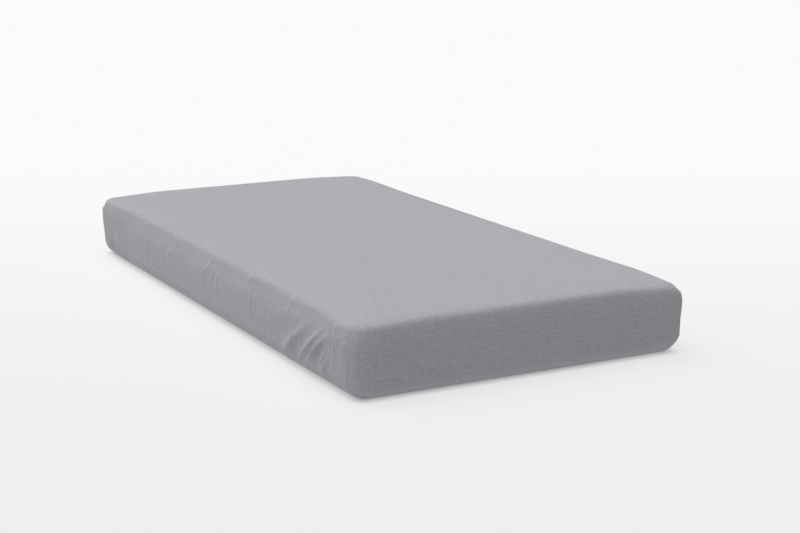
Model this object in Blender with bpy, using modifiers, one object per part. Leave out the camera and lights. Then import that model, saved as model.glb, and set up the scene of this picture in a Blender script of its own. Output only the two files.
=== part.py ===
"""Twin memory foam mattress, dressed in a stretch jersey fitted cover.

From the outside in: the fitted cover with its hem elastic and corner seams, the zipped inner
cover, the fire barrier sleeve and three foam layers. Every piece is an object of its own.
Lengths are metres. X runs across the mattress, Y along it and Z up, and the origin is the middle
of the face it lies on. Layers are given as depths in from the outside of the dressed mattress.
"""

import math
from dataclasses import dataclass

import bmesh
import bpy
from mathutils import Matrix, Vector

PARTS = "memory_foam_mattress"
CUTTERS = "cutters"

# Driving dimensions of the dressed mattress
WIDTH = 0.965
LENGTH = 1.905
HEIGHT = 0.194
CORNER_RADIUS = 0.060
TOP_RADIUS = 0.058
BOTTOM_RADIUS = 0.050
ROUND_SEGMENTS = 6

# Free space kept between two pieces that touch
GAP = 0.0003

# Fitted cover: the skirt turns under the mattress and ends in a folded hem round an elastic
JERSEY = 0.0006
SKIRT_WIDTH = 0.090
HEM_WIDTH = 0.012
HEM_HEIGHT = 0.0026
HEM_CORNER_RADIUS = 0.100
ELASTIC_WIDTH = 0.008
SEAM_WIDTH = 0.006
SEAM_THICKNESS = 0.0006

# Zipped inner cover: its outside, depths from the dressed outside, and its seams
COVER_SIDE_DEPTH = 0.0030
COVER_TOP_DEPTH = 0.0020
COVER_BOTTOM_DEPTH = HEM_HEIGHT + 0.0004
COVER_CLOTH = 0.0012
TOP_SEAM_HEIGHT = HEIGHT - 0.055
BOTTOM_SEAM_HEIGHT = 0.030
BINDING_WIDTH = 0.012
BINDING_THICKNESS = 0.0008

# Zip: it lies in a window of the border on the +X side, its chain midway through the tapes
ZIP_HEIGHT = 0.075
ZIP_HALF_LENGTH = 0.862
WINDOW_HALF_HEIGHT = 0.006
TAPE_THICKNESS = 0.0005
TAPE_REACH = 0.014
COIL_INNER = 0.00075
COIL_OUTER = 0.0026
COIL_THICKNESS = 0.0018
STOP_LENGTH = 0.003

# The zip's layers, as depths in from the outside of the +X face
TAPE_DEPTH = COVER_SIDE_DEPTH + COVER_CLOTH + GAP
CHAIN_DEPTH = TAPE_DEPTH + TAPE_THICKNESS / 2
FRONT_PLATE_DEPTH = CHAIN_DEPTH - COIL_THICKNESS / 2 - GAP
BACK_PLATE_DEPTH = CHAIN_DEPTH + COIL_THICKNESS / 2 + GAP
ZIP_END = ZIP_HALF_LENGTH + STOP_LENGTH + 2 * GAP

# Zip slider
SLIDER_LENGTH = 0.012
SLIDER_HALF_HEIGHT = 0.0046
SLIDER_PLATE = 0.0010
SLIDER_LIP = 0.0012
POST_HALF_HEIGHT = 0.00045
POST_LENGTH = 0.0035
LUG_HEIGHT = 0.0012
LUG_LENGTH = 0.0070

# Sleeve and foam, as depths from the dressed outside
SLEEVE_SIDE_DEPTH = 0.0073
SLEEVE_CLOTH = 0.0006
MOUTH_LENGTH = 0.60
MOUTH_HEIGHT = 0.0015
MEMORY_FOAM = 0.0508
TRANSITION_FOAM = 0.0381

# Sewn-in labels
LABEL_THICKNESS = 0.0003
COVER_LABEL = (0.100, 0.060)
CARE_LABEL = (0.040, 0.030)


@dataclass(frozen=True)
class Block:
    """A rounded block centred on the Z axis, the outside of one layer of the mattress."""

    half_x: float
    half_y: float
    bottom: float
    top: float
    corner_radius: float
    top_radius: float
    bottom_radius: float

    def inset(self, side, top, bottom):
        """The block that lies this far inside this one."""
        return Block(
            self.half_x - side,
            self.half_y - side,
            self.bottom + bottom,
            self.top - top,
            self.corner_radius - side,
            self.top_radius - side,
            self.bottom_radius - side,
        )


@dataclass(frozen=True)
class Outline:
    """A rounded rectangle centred on the Z axis."""

    half_x: float
    half_y: float
    radius: float


OUTSIDE = Block(
    WIDTH / 2, LENGTH / 2, 0.0, HEIGHT, CORNER_RADIUS, TOP_RADIUS, BOTTOM_RADIUS
)
SEAM_BLOCK = OUTSIDE.inset(*[JERSEY + GAP] * 3)
COVER_BLOCK = OUTSIDE.inset(COVER_SIDE_DEPTH, COVER_TOP_DEPTH, COVER_BOTTOM_DEPTH)
BINDING_BLOCK = COVER_BLOCK.inset(*[COVER_CLOTH + GAP] * 3)
SLEEVE_BLOCK = OUTSIDE.inset(
    SLEEVE_SIDE_DEPTH,
    COVER_TOP_DEPTH + COVER_CLOTH + GAP,
    COVER_BOTTOM_DEPTH + COVER_CLOTH + GAP,
)
FOAM_BLOCK = SLEEVE_BLOCK.inset(*[SLEEVE_CLOTH + GAP] * 3)

MATERIALS = {
    "heather_jersey": ((0.36, 0.37, 0.39), 0.95, 0.0),
    "seam_thread": ((0.30, 0.31, 0.33), 0.85, 0.0),
    "elastic": ((0.80, 0.80, 0.78), 0.80, 0.0),
    "white_knit": ((0.84, 0.84, 0.82), 0.90, 0.0),
    "grey_border_cloth": ((0.45, 0.46, 0.48), 0.90, 0.0),
    "grip_cloth": ((0.30, 0.31, 0.33), 0.95, 0.0),
    "binding_cloth": ((0.78, 0.78, 0.76), 0.85, 0.0),
    "zip_tape": ((0.62, 0.63, 0.65), 0.80, 0.0),
    "zip_coil": ((0.70, 0.71, 0.73), 0.35, 0.0),
    "zip_metal": ((0.55, 0.55, 0.57), 0.35, 1.0),
    "barrier_knit": ((0.88, 0.87, 0.83), 0.95, 0.0),
    "memory_foam": ((0.86, 0.84, 0.74), 0.95, 0.0),
    "transition_foam": ((0.66, 0.75, 0.82), 0.95, 0.0),
    "base_foam": ((0.88, 0.88, 0.86), 0.95, 0.0),
    "label_satin": ((0.90, 0.90, 0.89), 0.45, 0.0),
}


def clear_scene():
    for obj in list(bpy.data.objects):
        bpy.data.objects.remove(obj, do_unlink=True)


def make_collection(name):
    bpy.context.scene.collection.children.link(bpy.data.collections.new(name))


def make_material(name):
    color, roughness, metallic = MATERIALS[name]
    material = bpy.data.materials.new(name)
    material.use_nodes = True
    shader = material.node_tree.nodes["Principled BSDF"]
    shader.inputs["Base Color"].default_value = (*color, 1.0)
    shader.inputs["Roughness"].default_value = roughness
    shader.inputs["Metallic"].default_value = metallic
    material.diffuse_color = (*color, 1.0)


def add_piece(name, shape, material, origin=(0.0, 0.0, 0.0)):
    """Makes a named piece of the mattress from a bmesh, with its own origin."""
    bmesh.ops.translate(shape, vec=-Vector(origin), verts=shape.verts)
    bmesh.ops.recalc_face_normals(shape, faces=shape.faces)
    mesh = bpy.data.meshes.new(name)
    shape.to_mesh(mesh)
    shape.free()
    mesh.shade_smooth()
    mesh.set_sharp_from_angle(angle=math.radians(30))
    piece = bpy.data.objects.new(name, mesh)
    piece.location = origin
    piece.data.materials.append(bpy.data.materials[material])
    bpy.data.collections[PARTS].objects.link(piece)
    return piece


def add_cutter(name, shape):
    """A shape that is only ever the operand of a Boolean."""
    mesh = bpy.data.meshes.new(name)
    shape.to_mesh(mesh)
    shape.free()
    cutter = bpy.data.objects.new(name, mesh)
    cutter.hide_render = True
    cutter.display_type = "WIRE"
    bpy.data.collections[CUTTERS].objects.link(cutter)
    return cutter


def thicken(piece, thickness):
    """Gives an open surface its cloth thickness, on the inner side."""
    solidify = piece.modifiers.new("cloth thickness", "SOLIDIFY")
    solidify.thickness = thickness
    solidify.offset = -1.0
    solidify.use_even_offset = True


def combine(piece, operand, operation):
    boolean = piece.modifiers.new(operand.name, "BOOLEAN")
    boolean.operation = operation
    boolean.solver = "EXACT"
    boolean.object = operand


def box_shape(low, high):
    low, high = Vector(low), Vector(high)
    shape = bmesh.new()
    place = Matrix.LocRotScale((low + high) / 2, None, high - low)
    bmesh.ops.create_cube(shape, size=1.0, matrix=place)
    return shape


def round_edges(shape, edges, radius):
    bmesh.ops.bevel(
        shape,
        geom=edges,
        offset=radius,
        offset_type="OFFSET",
        segments=ROUND_SEGMENTS,
        profile=0.5,
        affect="EDGES",
        clamp_overlap=False,
    )


def edges_at(shape, height):
    """The edges that lie flat at one height."""
    return [
        edge
        for edge in shape.edges
        if all(abs(vert.co.z - height) < 1e-6 for vert in edge.verts)
    ]


def plate_shape(outline, bottom, top):
    """A flat-sided plate with rounded upright edges."""
    low = (-outline.half_x, -outline.half_y, bottom)
    high = (outline.half_x, outline.half_y, top)
    shape = box_shape(low, high)
    flat = set(edges_at(shape, bottom) + edges_at(shape, top))
    round_edges(shape, [edge for edge in shape.edges if edge not in flat], outline.radius)
    return shape


def block_shape(block):
    """The closed surface of a rounded block: a plate, then its top and bottom rims rounded."""
    outline = Outline(block.half_x, block.half_y, block.corner_radius)
    shape = plate_shape(outline, block.bottom, block.top)
    round_edges(shape, edges_at(shape, block.top), block.top_radius)
    round_edges(shape, edges_at(shape, block.bottom), block.bottom_radius)
    return shape


def cut_away(shape, point, normal):
    """Removes what lies past a plane, on the side that its normal points to."""
    bmesh.ops.bisect_plane(
        shape,
        geom=shape.verts[:] + shape.edges[:] + shape.faces[:],
        plane_co=point,
        plane_no=normal,
        clear_outer=True,
    )


def band_shape(block, low, high):
    """The open surface of a block between two heights."""
    shape = block_shape(block)
    cut_away(shape, (0.0, 0.0, high), (0.0, 0.0, 1.0))
    cut_away(shape, (0.0, 0.0, low), (0.0, 0.0, -1.0))
    return shape


def rim_edges(shape):
    return [edge for edge in shape.edges if edge.is_boundary]


def extrude_rim(shape, edges):
    """Grows a new strip of faces out of a rim, and returns the strip's far points and edges."""
    grown = bmesh.ops.extrude_edge_only(shape, edges=edges)["geom"]
    points = [item for item in grown if isinstance(item, bmesh.types.BMVert)]
    far = set(points)
    return points, [
        edge
        for edge in {link for point in points for link in point.link_edges}
        if far.issuperset(edge.verts)
    ]


def reshape_ring(points, old, new):
    """Moves a ring of corner points from one outline to another, angle by angle."""
    for point in points:
        side_x = math.copysign(1.0, point.co.x)
        side_y = math.copysign(1.0, point.co.y)
        out_x = abs(point.co.x) - (old.half_x - old.radius)
        out_y = abs(point.co.y) - (old.half_y - old.radius)
        angle = math.atan2(max(out_y, 0.0), max(out_x, 0.0))
        point.co.x = side_x * (new.half_x - new.radius + new.radius * math.cos(angle))
        point.co.y = side_y * (new.half_y - new.radius + new.radius * math.sin(angle))


def hem_outline(back_from_edge):
    """The outline of the skirt's opening, or one parallel to it this far back from its edge."""
    reach = BOTTOM_RADIUS + SKIRT_WIDTH - back_from_edge
    return Outline(
        OUTSIDE.half_x - reach, OUTSIDE.half_y - reach, HEM_CORNER_RADIUS + back_from_edge
    )


def make_fitted_cover():
    """One jersey skin: over the top, down the sides, turned under, and folded back as a hem."""
    shape = block_shape(OUTSIDE)
    bottom = [face for face in shape.faces if face.normal.z < -0.999]
    bmesh.ops.delete(shape, geom=bottom, context="FACES_ONLY")
    flat_bottom = Outline(
        OUTSIDE.half_x - BOTTOM_RADIUS,
        OUTSIDE.half_y - BOTTOM_RADIUS,
        CORNER_RADIUS - BOTTOM_RADIUS,
    )
    skirt, edges = extrude_rim(shape, rim_edges(shape))
    reshape_ring(skirt, flat_bottom, hem_outline(0.0))
    fold, edges = extrude_rim(shape, edges)
    for point in fold:
        point.co.z += HEM_HEIGHT
    flap, _ = extrude_rim(shape, edges)
    reshape_ring(flap, hem_outline(0.0), hem_outline(HEM_WIDTH))
    thicken(add_piece("fitted_cover", shape, "heather_jersey"), JERSEY)


def make_hem_elastic():
    """The flat elastic band inside the hem's fold."""
    low = JERSEY + GAP
    high = HEM_HEIGHT - JERSEY - GAP
    outer = plate_shape(hem_outline(JERSEY + GAP + ELASTIC_WIDTH), low, high)
    inner = plate_shape(hem_outline(JERSEY + GAP), low - GAP, high + GAP)
    elastic = add_piece("hem_elastic", outer, "elastic")
    combine(elastic, add_cutter("elastic_inside", inner), "DIFFERENCE")


def make_corner_seams():
    """The overlocked seam of each corner, a strip inside the jersey from the top to the skirt."""
    for name, side_x, side_y in (
        ("front_left", -1, -1),
        ("front_right", 1, -1),
        ("back_left", -1, 1),
        ("back_right", 1, 1),
    ):
        shape = block_shape(SEAM_BLOCK)
        outward = Vector((side_x, side_y, 0.0)).normalized()
        across = Vector((-side_y, side_x, 0.0)).normalized()
        centre = Vector((
            side_x * (SEAM_BLOCK.half_x - SEAM_BLOCK.corner_radius),
            side_y * (SEAM_BLOCK.half_y - SEAM_BLOCK.corner_radius),
            0.0,
        ))
        cut_away(shape, centre, -outward)
        cut_away(shape, centre + across * SEAM_WIDTH / 2, across)
        cut_away(shape, centre - across * SEAM_WIDTH / 2, -across)
        thicken(add_piece(f"corner_seam_{name}", shape, "seam_thread"), SEAM_THICKNESS)


def make_inner_cover():
    """Top panel, border and bottom panel of the zipped cover, parted at their two seams."""
    above, below = GAP / 2, -GAP / 2
    top = band_shape(COVER_BLOCK, TOP_SEAM_HEIGHT + above, HEIGHT)
    thicken(add_piece("cover_top_panel", top, "white_knit"), COVER_CLOTH)
    bottom = band_shape(COVER_BLOCK, 0.0, BOTTOM_SEAM_HEIGHT + below)
    thicken(add_piece("cover_bottom_panel", bottom, "grip_cloth"), COVER_CLOTH)
    ring = band_shape(COVER_BLOCK, BOTTOM_SEAM_HEIGHT + above, TOP_SEAM_HEIGHT + below)
    border = add_piece("cover_border", ring, "grey_border_cloth")
    thicken(border, COVER_CLOTH)
    window = box_shape(
        (WIDTH / 2 - SLEEVE_SIDE_DEPTH, -ZIP_END, ZIP_HEIGHT - WINDOW_HALF_HEIGHT),
        (WIDTH / 2, ZIP_END, ZIP_HEIGHT + WINDOW_HALF_HEIGHT),
    )
    combine(border, add_cutter("zip_window", window), "DIFFERENCE")


def make_seam_bindings():
    """The tape that binds the raw seam edges, inside the cover."""
    for name, height in (
        ("top_seam_binding", TOP_SEAM_HEIGHT),
        ("bottom_seam_binding", BOTTOM_SEAM_HEIGHT),
    ):
        low = height - BINDING_WIDTH / 2
        ring = band_shape(BINDING_BLOCK, low, low + BINDING_WIDTH)
        thicken(add_piece(name, ring, "binding_cloth"), BINDING_THICKNESS)


def zip_box(depths, along, above):
    """A box on the zip: depths in from the +X face, Y range, heights above the zip's middle."""
    low = (WIDTH / 2 - depths[1], along[0], ZIP_HEIGHT + above[0])
    high = (WIDTH / 2 - depths[0], along[1], ZIP_HEIGHT + above[1])
    return box_shape(low, high)


def make_zip_chain():
    """Two tapes, each with its row of coil, and the stops that close both ends."""
    tape_depths = (TAPE_DEPTH, TAPE_DEPTH + TAPE_THICKNESS)
    coil_depths = (CHAIN_DEPTH - COIL_THICKNESS / 2, CHAIN_DEPTH + COIL_THICKNESS / 2)
    for name, side in (("upper", 1), ("lower", -1)):
        heights = sorted((side * (COIL_OUTER + GAP), side * TAPE_REACH))
        tape = zip_box(tape_depths, (-ZIP_END, ZIP_END), heights)
        add_piece(f"zip_{name}_tape", tape, "zip_tape")
        heights = sorted((side * COIL_INNER, side * COIL_OUTER))
        coil = zip_box(coil_depths, (-ZIP_HALF_LENGTH, ZIP_HALF_LENGTH), heights)
        add_piece(f"zip_{name}_coil", coil, "zip_coil")
    near = ZIP_HALF_LENGTH + GAP
    for name, side in (("top", -1), ("bottom", 1)):
        along = sorted((side * near, side * (near + STOP_LENGTH)))
        stop = zip_box(coil_depths, along, (-COIL_OUTER, COIL_OUTER))
        add_piece(f"zip_{name}_stop", stop, "zip_metal")


def make_zip_slider():
    """Two plates joined by a post, with lips that hold the tapes and an eye for a pin.

    It has no pull tab, and its origin is on the line that it slides along.
    """
    rest_y = SLIDER_LENGTH / 2 - ZIP_HALF_LENGTH
    length = (rest_y - SLIDER_LENGTH / 2, rest_y + SLIDER_LENGTH / 2)
    height = (-SLIDER_HALF_HEIGHT, SLIDER_HALF_HEIGHT)
    front = (FRONT_PLATE_DEPTH - SLIDER_PLATE, FRONT_PLATE_DEPTH)
    back = (BACK_PLATE_DEPTH, BACK_PLATE_DEPTH + SLIDER_PLATE)
    overlap = SLIDER_PLATE / 2
    origin = (WIDTH / 2 - CHAIN_DEPTH, rest_y, ZIP_HEIGHT)
    slider = add_piece("zip_slider", zip_box(front, length, height), "zip_metal", origin)
    additions = {
        "slider_back_plate": zip_box(back, length, height),
        "slider_post": zip_box(
            (front[1] - overlap, back[0] + overlap),
            (length[0], length[0] + POST_LENGTH),
            (-POST_HALF_HEIGHT, POST_HALF_HEIGHT),
        ),
        "slider_lug": zip_box(
            (front[0] - LUG_HEIGHT, front[0] + overlap),
            (rest_y - LUG_LENGTH / 2, rest_y + LUG_LENGTH / 2),
            (-LUG_HEIGHT, LUG_HEIGHT),
        ),
    }
    front_lip = (FRONT_PLATE_DEPTH - overlap, TAPE_DEPTH - GAP)
    back_lip = (TAPE_DEPTH + TAPE_THICKNESS + GAP, BACK_PLATE_DEPTH + overlap)
    for name, depths in (("front", front_lip), ("back", back_lip)):
        for side in (1, -1):
            inner = side * (SLIDER_HALF_HEIGHT - SLIDER_LIP)
            heights = sorted((inner, side * SLIDER_HALF_HEIGHT))
            lip_name = f"slider_{name}_{'upper' if side > 0 else 'lower'}_lip"
            additions[lip_name] = zip_box(depths, length, heights)
    for name, shape in additions.items():
        combine(slider, add_cutter(name, shape), "UNION")
    eye = zip_box(
        (front[0] - LUG_HEIGHT / 2, front[0]),
        (rest_y - LUG_HEIGHT, rest_y + LUG_HEIGHT),
        (-LUG_HEIGHT * 2, LUG_HEIGHT * 2),
    )
    combine(slider, add_cutter("slider_eye", eye), "DIFFERENCE")


def make_sleeve():
    """The fire barrier sock round the foam, with the slit it is drawn on by at the -Y end."""
    sleeve = add_piece("fire_barrier_sleeve", block_shape(SLEEVE_BLOCK), "barrier_knit")
    thicken(sleeve, SLEEVE_CLOTH)
    middle = HEIGHT / 2
    mouth = box_shape(
        (-MOUTH_LENGTH / 2, -LENGTH / 2, middle - MOUTH_HEIGHT / 2),
        (MOUTH_LENGTH / 2, -FOAM_BLOCK.half_y, middle + MOUTH_HEIGHT / 2),
    )
    combine(sleeve, add_cutter("sleeve_mouth", mouth), "DIFFERENCE")


def make_foam():
    """Base, transition and memory foam, sliced from one rounded block from the top down."""
    memory_bottom = FOAM_BLOCK.top - MEMORY_FOAM
    transition_bottom = memory_bottom - GAP - TRANSITION_FOAM
    for name, low, high in (
        ("memory_foam", memory_bottom, FOAM_BLOCK.top),
        ("transition_foam", transition_bottom, memory_bottom - GAP),
        ("base_foam", FOAM_BLOCK.bottom, transition_bottom - GAP),
    ):
        layer = band_shape(FOAM_BLOCK, low, high)
        bmesh.ops.holes_fill(layer, edges=rim_edges(layer), sides=0)
        add_piece(name, layer, name)


def make_labels():
    """Blank satin labels: one on the inner cover's +Y end, one inside the fitted cover's skirt."""
    width, height = COVER_LABEL
    outer = LENGTH / 2 - COVER_SIDE_DEPTH + GAP + LABEL_THICKNESS
    low_z = (BOTTOM_SEAM_HEIGHT + TOP_SEAM_HEIGHT - height) / 2
    shape = box_shape(
        (WIDTH / 4 - width / 2, outer - LABEL_THICKNESS, low_z),
        (WIDTH / 4 + width / 2, outer, low_z + height),
    )
    add_piece("cover_label", shape, "label_satin")
    width, depth = CARE_LABEL
    low_y = -LENGTH / 2 + BOTTOM_RADIUS + HEM_WIDTH
    low_z = JERSEY + GAP
    shape = box_shape(
        (WIDTH / 4 - width / 2, low_y, low_z),
        (WIDTH / 4 + width / 2, low_y + depth, low_z + LABEL_THICKNESS),
    )
    add_piece("care_label", shape, "label_satin")


def build():
    clear_scene()
    make_collection(PARTS)
    make_collection(CUTTERS)
    for name in MATERIALS:
        make_material(name)
    make_fitted_cover()
    make_hem_elastic()
    make_corner_seams()
    make_inner_cover()
    make_seam_bindings()
    make_zip_chain()
    make_zip_slider()
    make_sleeve()
    make_foam()
    make_labels()


build()
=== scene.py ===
"""The looks of a twin memory foam mattress dressed in a heather jersey fitted cover.

The cover is one sheet, mapped from a flat grid over the mattress as the real cloth is pulled over
it. Its folds are moved into that grid by functions, and the cloth then settles in a simulation.
Lengths are metres, in the frame of the CAD model: X across, Y along, Z up.
"""

import math
from dataclasses import dataclass

import bmesh
import bpy
import numpy as np
from mathutils import Euler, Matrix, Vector


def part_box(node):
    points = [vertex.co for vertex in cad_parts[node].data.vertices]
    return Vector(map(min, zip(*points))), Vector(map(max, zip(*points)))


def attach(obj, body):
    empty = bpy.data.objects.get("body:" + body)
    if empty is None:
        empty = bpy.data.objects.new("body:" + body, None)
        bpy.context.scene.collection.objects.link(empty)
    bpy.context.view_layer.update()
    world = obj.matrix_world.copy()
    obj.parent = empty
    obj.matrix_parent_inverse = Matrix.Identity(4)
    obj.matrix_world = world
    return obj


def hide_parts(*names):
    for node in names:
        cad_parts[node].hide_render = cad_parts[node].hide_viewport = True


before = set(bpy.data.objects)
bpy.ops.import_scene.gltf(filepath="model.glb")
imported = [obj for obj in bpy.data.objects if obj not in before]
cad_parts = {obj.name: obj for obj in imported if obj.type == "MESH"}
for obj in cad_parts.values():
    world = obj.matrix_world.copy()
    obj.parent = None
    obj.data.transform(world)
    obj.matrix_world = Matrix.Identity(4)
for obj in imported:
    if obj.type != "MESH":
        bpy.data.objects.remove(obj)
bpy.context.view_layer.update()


def corners_of(node):
    """The low and high corners of a CAD node's box."""
    low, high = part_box(node)
    return np.array(low), np.array(high)


COVER_LOW, COVER_HIGH = corners_of("fitted_cover")
HALF_X, HALF_Y = (COVER_HIGH - COVER_LOW)[:2] / 2
HEIGHT = float(COVER_HIGH[2])

# Shape of the dressed mattress
EDGE_RADIUS = 0.060
EDGE_BENDS = ((10, 0.00, 0.34), (66, 0.24, 0.50), (14, 0.42, 1.00))
BOTTOM_RADIUS = 0.050
SKIRT_WIDTH = 0.090
HEM_CORNER_RADIUS = 0.100
HEM_FOLD_RADIUS = 0.0011
HEM_FLAP = 0.011
CLOTH_LIFT = 0.0004

# Cells of the cover's grid
TOP_CELLS = (72, 400)
SIDE_CELLS = 48
SKIRT_CELLS = 5
FOLD_CELLS = 4
CROWDING_X = 0.45

# Folds of the cover
SIDE_HOLLOW = 0.0012
PUCKER_FIRST = -0.861
PUCKER_SPACING = 0.2705
PUCKER_COUNT = 6
PUCKER_TOP = 0.172
SCALLOP_LIFT = 0.0011
RIPPLE_LENGTHS = (0.017, 0.023, 0.031, 0.047, 0.083)
RIPPLE_LIFT = 0.00022
FIN_REACH = 0.0080
FIN_FADE = 0.011
FIN_FOOT = 0.086
FIN_WIDTH = 0.010
RIB_LIFT = 0.0050
RIB_WIDTH = 0.016
SEAM_GROOVE = 0.0008
SEAM_GROOVE_WIDTH = 0.0012
DEEPEST = 0.0019
DEEPEST_OVER_ZIP = 0.0007
SETTLE_FOOT = 0.45
SIDE_DROOP = 0.0050
END_DROOP = 0.0025
EDGE_REACH = 0.13
SIDE_LEAN = 0.010
DROOP_REACH = 0.24
TUCK_REACH = 0.16
EASE_ALONG = 0.014
EASE_UP = -0.004
RELAX_FRAMES = 9
RELAX_QUALITY = 3
RELAX_OUT = 0.0030
RELAX_IN = 0.0007
RUFFLE_LENGTH = 0.021
RUFFLE_LIFT = 0.0007

# Layers inside the cover
EDGE_EASE = 0.0005
CUT_RADIUS = 0.0008
LAYER_GAP = 0.0003
RIM_GAP = 0.0012
COVER_CLOTH = 0.0012
SLEEVE_CLOTH = 0.0006
SLEEVE_WAVES = (0.0002, 0.11)
FOAM_WAVES = (0.0003, 0.23)
MOUTH_LENGTH = 0.60
SEAM_DEPTH = 0.0007
SEAM_THICKNESS = 0.0006
ELASTIC_WIDTH = 0.008
BINDING_THICKNESS = 0.0008
WINDOW_HALF_HEIGHT = 0.006
QUILT_SPACING = 0.090
QUILT_PUFF = 0.0009
GRIP_SPACING = 0.030
GRIP_RADIUS = 0.0035
GRIP_HEIGHT = 0.0009
GRIP_MARGIN = 0.155
GRIP_SIDES = 8
GRIP_PROFILE = ((1.0, 0.0), (0.8, 0.6), (0.4, 1.0))

# Cells of the inner layers
LAYER_CELLS = (24, 48)
QUILT_CELLS = (80, 160)
ARC_STEPS = 10
STRAIGHT_STEPS = 3
OUTLINE_SPACING = 0.02
OUTLINE_ARC_STEPS = 10
LABEL_LINES = (21, 13)
BORDER_ROWS = 16
BINDING_ROWS = 7

# Zip
WIRE_RADIUS = 0.00030
COIL_PITCH = 0.0013
COIL_STEPS = 7
TAPE_WAVE = 0.00008
TAPE_WAVE_LENGTH = 0.013
TAPE_LINES = (433, 7)


def smooth(low, high, value):
    """0 at low, 1 at high, with an even S between them. Low may be the larger of the two."""
    t = np.clip((value - low) / (high - low), 0, 1)
    return t * t * (3 - 2 * t)


# ---------------------------------------------------------------------------------------------
# The cover's grid

# The top's edge crowns gently, turns down in a tight bend and then leans out until it is upright.
# EDGE_BENDS gives the degrees that each of these turns, and the shares of the edge's length that it
# starts and ends at.
EDGE_SHARES = np.linspace(0, 1, 201)
EDGE_TURNS = sum(math.radians(turn) * smooth(start, end, EDGE_SHARES) for turn, start, end in EDGE_BENDS)
EDGE_RUN = np.cumsum(np.cos(EDGE_TURNS)) - 1
EDGE_FALL = np.cumsum(np.sin(EDGE_TURNS))
ARC = EDGE_RADIUS * (len(EDGE_SHARES) - 1) / EDGE_RUN[-1]
EDGE_DROP = EDGE_RADIUS * EDGE_FALL[-1] / EDGE_RUN[-1]

SIDE = HEIGHT - EDGE_DROP - BOTTOM_RADIUS
SIDE_END = ARC + SIDE
BOTTOM_END = SIDE_END + BOTTOM_RADIUS * math.pi / 2
SKIRT_END = BOTTOM_END + SKIRT_WIDTH
FOLD_END = SKIRT_END + HEM_FOLD_RADIUS * math.pi
CLOTH_END = FOLD_END + HEM_FLAP


def profile(depth):
    """Inset from the side, height, and outward and upward slope at this cloth depth past the top."""
    top_share = np.clip(depth / ARC, 0, 1)
    top_angle = np.interp(top_share, EDGE_SHARES, EDGE_TURNS)
    low_angle = np.clip((depth - SIDE_END) / BOTTOM_RADIUS, 0, math.pi / 2)
    along_side = np.clip(depth - ARC, 0, SIDE)
    along_skirt = np.clip(depth - BOTTOM_END, 0, SKIRT_WIDTH)
    fold_angle = np.clip((depth - SKIRT_END) / HEM_FOLD_RADIUS, 0, math.pi)
    along_flap = np.clip(depth - FOLD_END, 0, HEM_FLAP)
    inset = (
        EDGE_RADIUS * (1 - np.interp(top_share, EDGE_SHARES, EDGE_RUN / EDGE_RUN[-1]))
        + BOTTOM_RADIUS * (1 - np.cos(low_angle))
        + along_skirt
        + HEM_FOLD_RADIUS * np.sin(fold_angle)
        - along_flap
    )
    height = (
        HEIGHT
        - EDGE_DROP * np.interp(top_share, EDGE_SHARES, EDGE_FALL / EDGE_FALL[-1])
        - along_side
        - BOTTOM_RADIUS * np.sin(low_angle)
        + HEM_FOLD_RADIUS * (1 - np.cos(fold_angle))
    )
    tilt = top_angle + low_angle + fold_angle
    return inset, height, np.sin(tilt), np.cos(tilt)


def cover_path(depth):
    """The cover's profile, with the plan radius of its corner: that opens out again along the skirt."""
    inset, height, out, upward = profile(depth)
    growth = (HEM_CORNER_RADIUS - (EDGE_RADIUS - BOTTOM_RADIUS)) / SKIRT_WIDTH
    on_skirt = EDGE_RADIUS - BOTTOM_RADIUS + growth * np.clip(depth - BOTTOM_END, 0, SKIRT_WIDTH)
    past_fold = np.where(depth > SKIRT_END, BOTTOM_RADIUS + SKIRT_WIDTH - inset, 0)
    on_side = EDGE_RADIUS - np.minimum(inset, BOTTOM_RADIUS)
    radius = np.where(depth > BOTTOM_END, on_skirt + past_fold, on_side)
    return inset, height, out, upward, radius


def cover_steps():
    """Cloth depths of the cover's grid lines, from the top's edge to the end of the hem."""
    return np.concatenate([
        np.linspace(0, BOTTOM_END, SIDE_CELLS + 1)[1:],
        np.linspace(BOTTOM_END, SKIRT_END, SKIRT_CELLS + 1)[1:],
        np.linspace(SKIRT_END, FOLD_END, FOLD_CELLS + 1)[1:],
        [CLOTH_END],
    ])


def grid_lines(flat_half, cells, crowding, down):
    """Cloth coordinates of the grid's lines, and how many steps each lies below the top's edge.

    Crowding, from 0 to 1, draws the lines of the top towards its edges.
    """
    even = np.linspace(-1, 1, cells + 1)
    top = flat_half * ((1 - crowding) * even + crowding * np.sin(even * math.pi / 2))
    steps = np.arange(1, len(down) + 1)
    places = np.concatenate([-(flat_half + down[::-1]), top, flat_half + down])
    return places, np.concatenate([steps[::-1], np.zeros(cells + 1, int), steps])


def grid_quads(rows, columns):
    """The faces of a grid of points, row by row, as four point numbers each."""
    index = np.arange(rows * columns).reshape(rows, columns)
    corners = [index[:-1, :-1], index[:-1, 1:], index[1:, 1:], index[1:, :-1]]
    return np.stack(corners, axis=-1).reshape(-1, 4)


def tube_quads(rings, around):
    """The faces between rings of points, each ring closed round, as four point numbers each."""
    index = np.arange(rings * around).reshape(rings, around)
    following = np.roll(index, -1, axis=1)
    corners = [index[:-1], following[:-1], following[1:], index[1:]]
    return np.stack(corners, axis=-1).reshape(-1, 4)


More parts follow.
